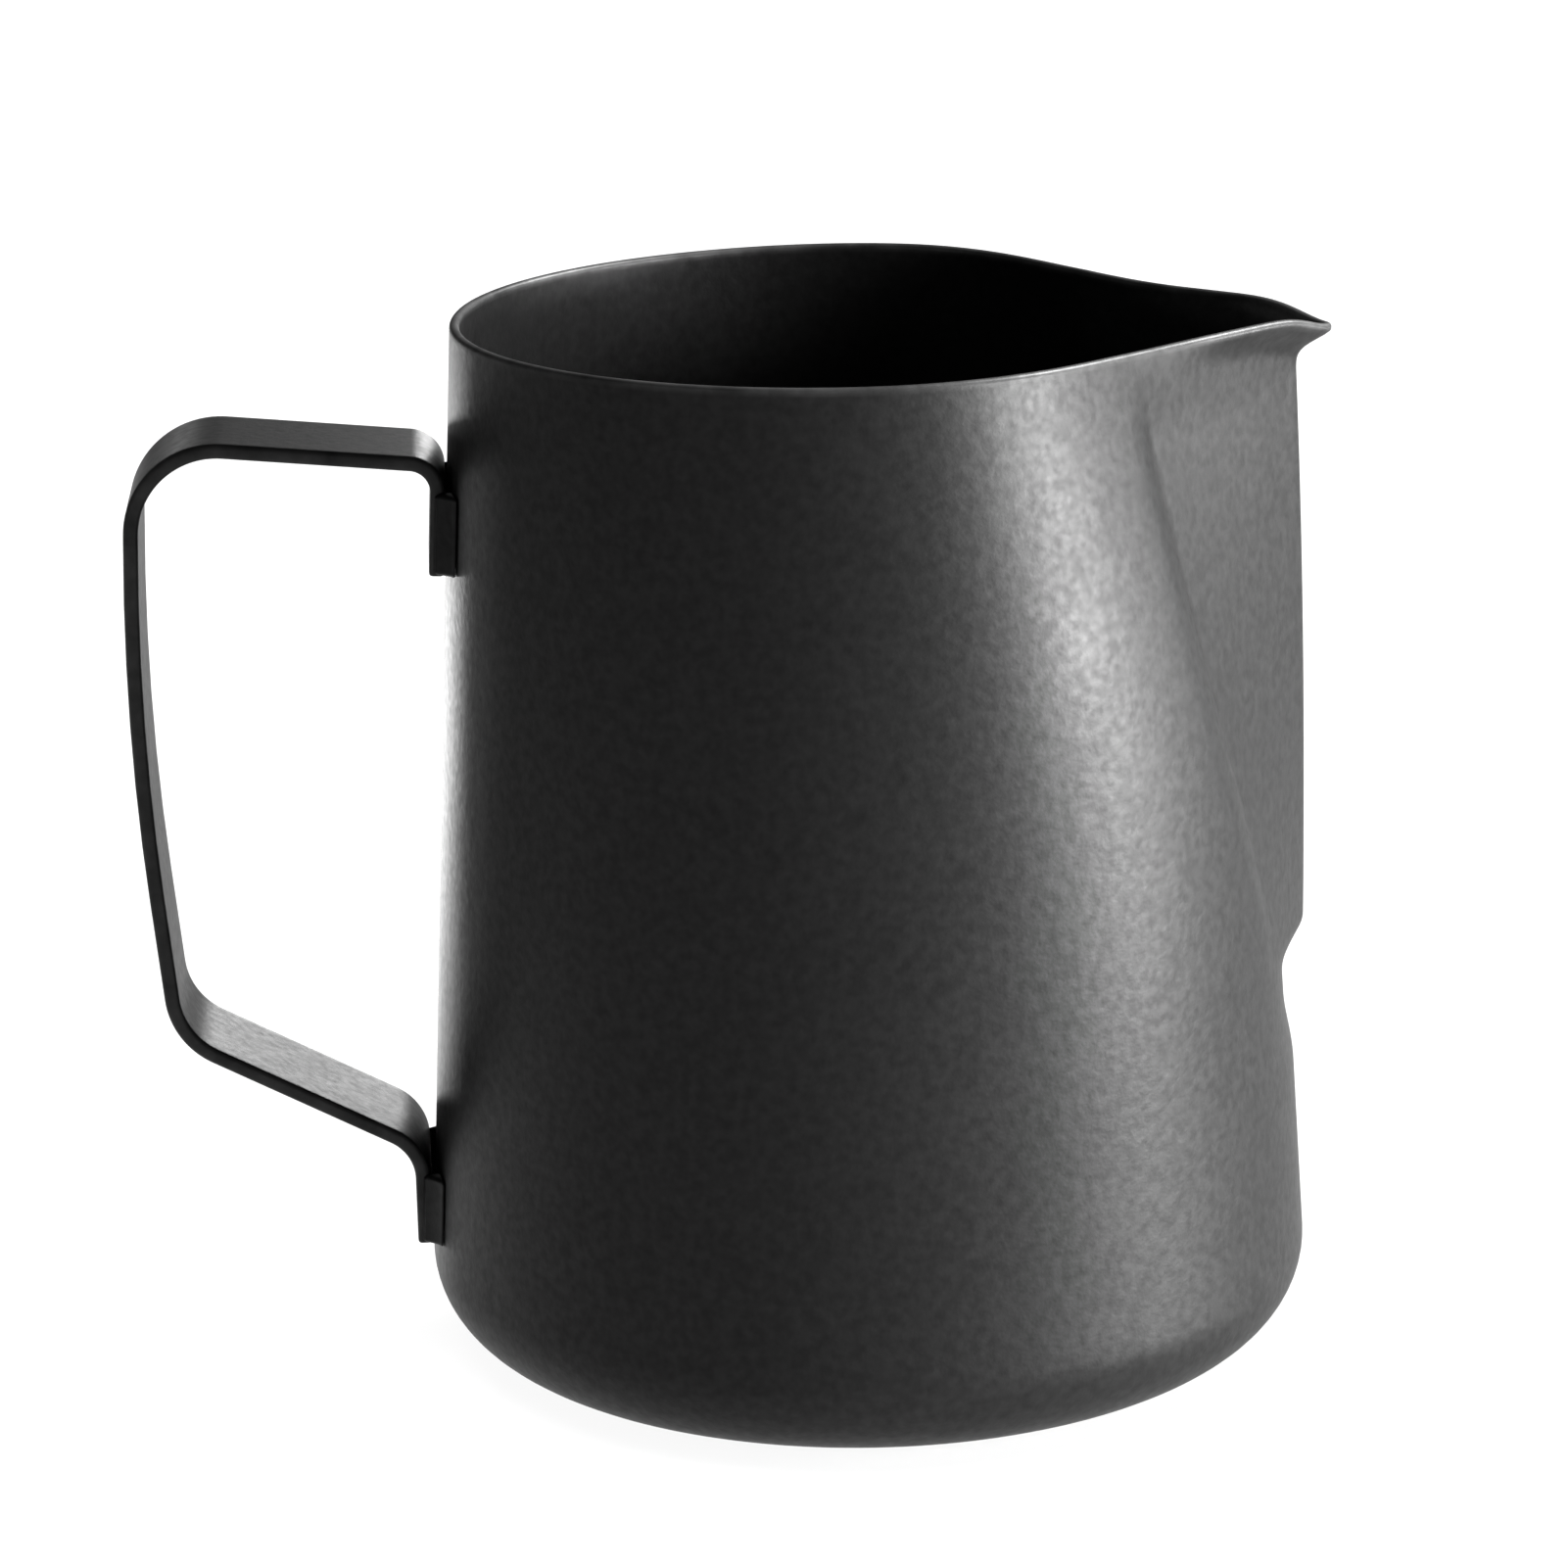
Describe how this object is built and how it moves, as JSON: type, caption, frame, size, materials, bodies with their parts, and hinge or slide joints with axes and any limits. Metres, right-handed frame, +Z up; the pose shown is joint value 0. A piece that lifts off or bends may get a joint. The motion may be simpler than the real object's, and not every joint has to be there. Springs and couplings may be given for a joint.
{
  "type": "milk frothing pitcher",
  "caption": "Matte black steel frothing pitcher: a tapered cup with a pinched V spout and a bent flat-bar handle.",
  "frame": {"origin": "on the cup's axis, in the plane of its flat base", "axes": "+Z up along the cup's axis, +X towards the spout, -X towards the handle; the plane y = 0 is the mirror plane"},
  "size_m": [0.1208, 0.09, 0.1054],
  "materials": {
    "body_coat": "matte black powder coat with a fine grain, over drawn stainless steel",
    "handle_coat": "matte black powder coat over flat steel bar",
    "weld_coat": "matte black powder coat over a weld bead"
  },
  "bodies": {
    "root": {"body_shell": "body_coat", "handle_strap": "handle_coat", "upper_weld_left": "weld_coat", "upper_weld_right": "weld_coat", "lower_weld_left": "weld_coat", "lower_weld_right": "weld_coat"}
  },
  "joints": []
}
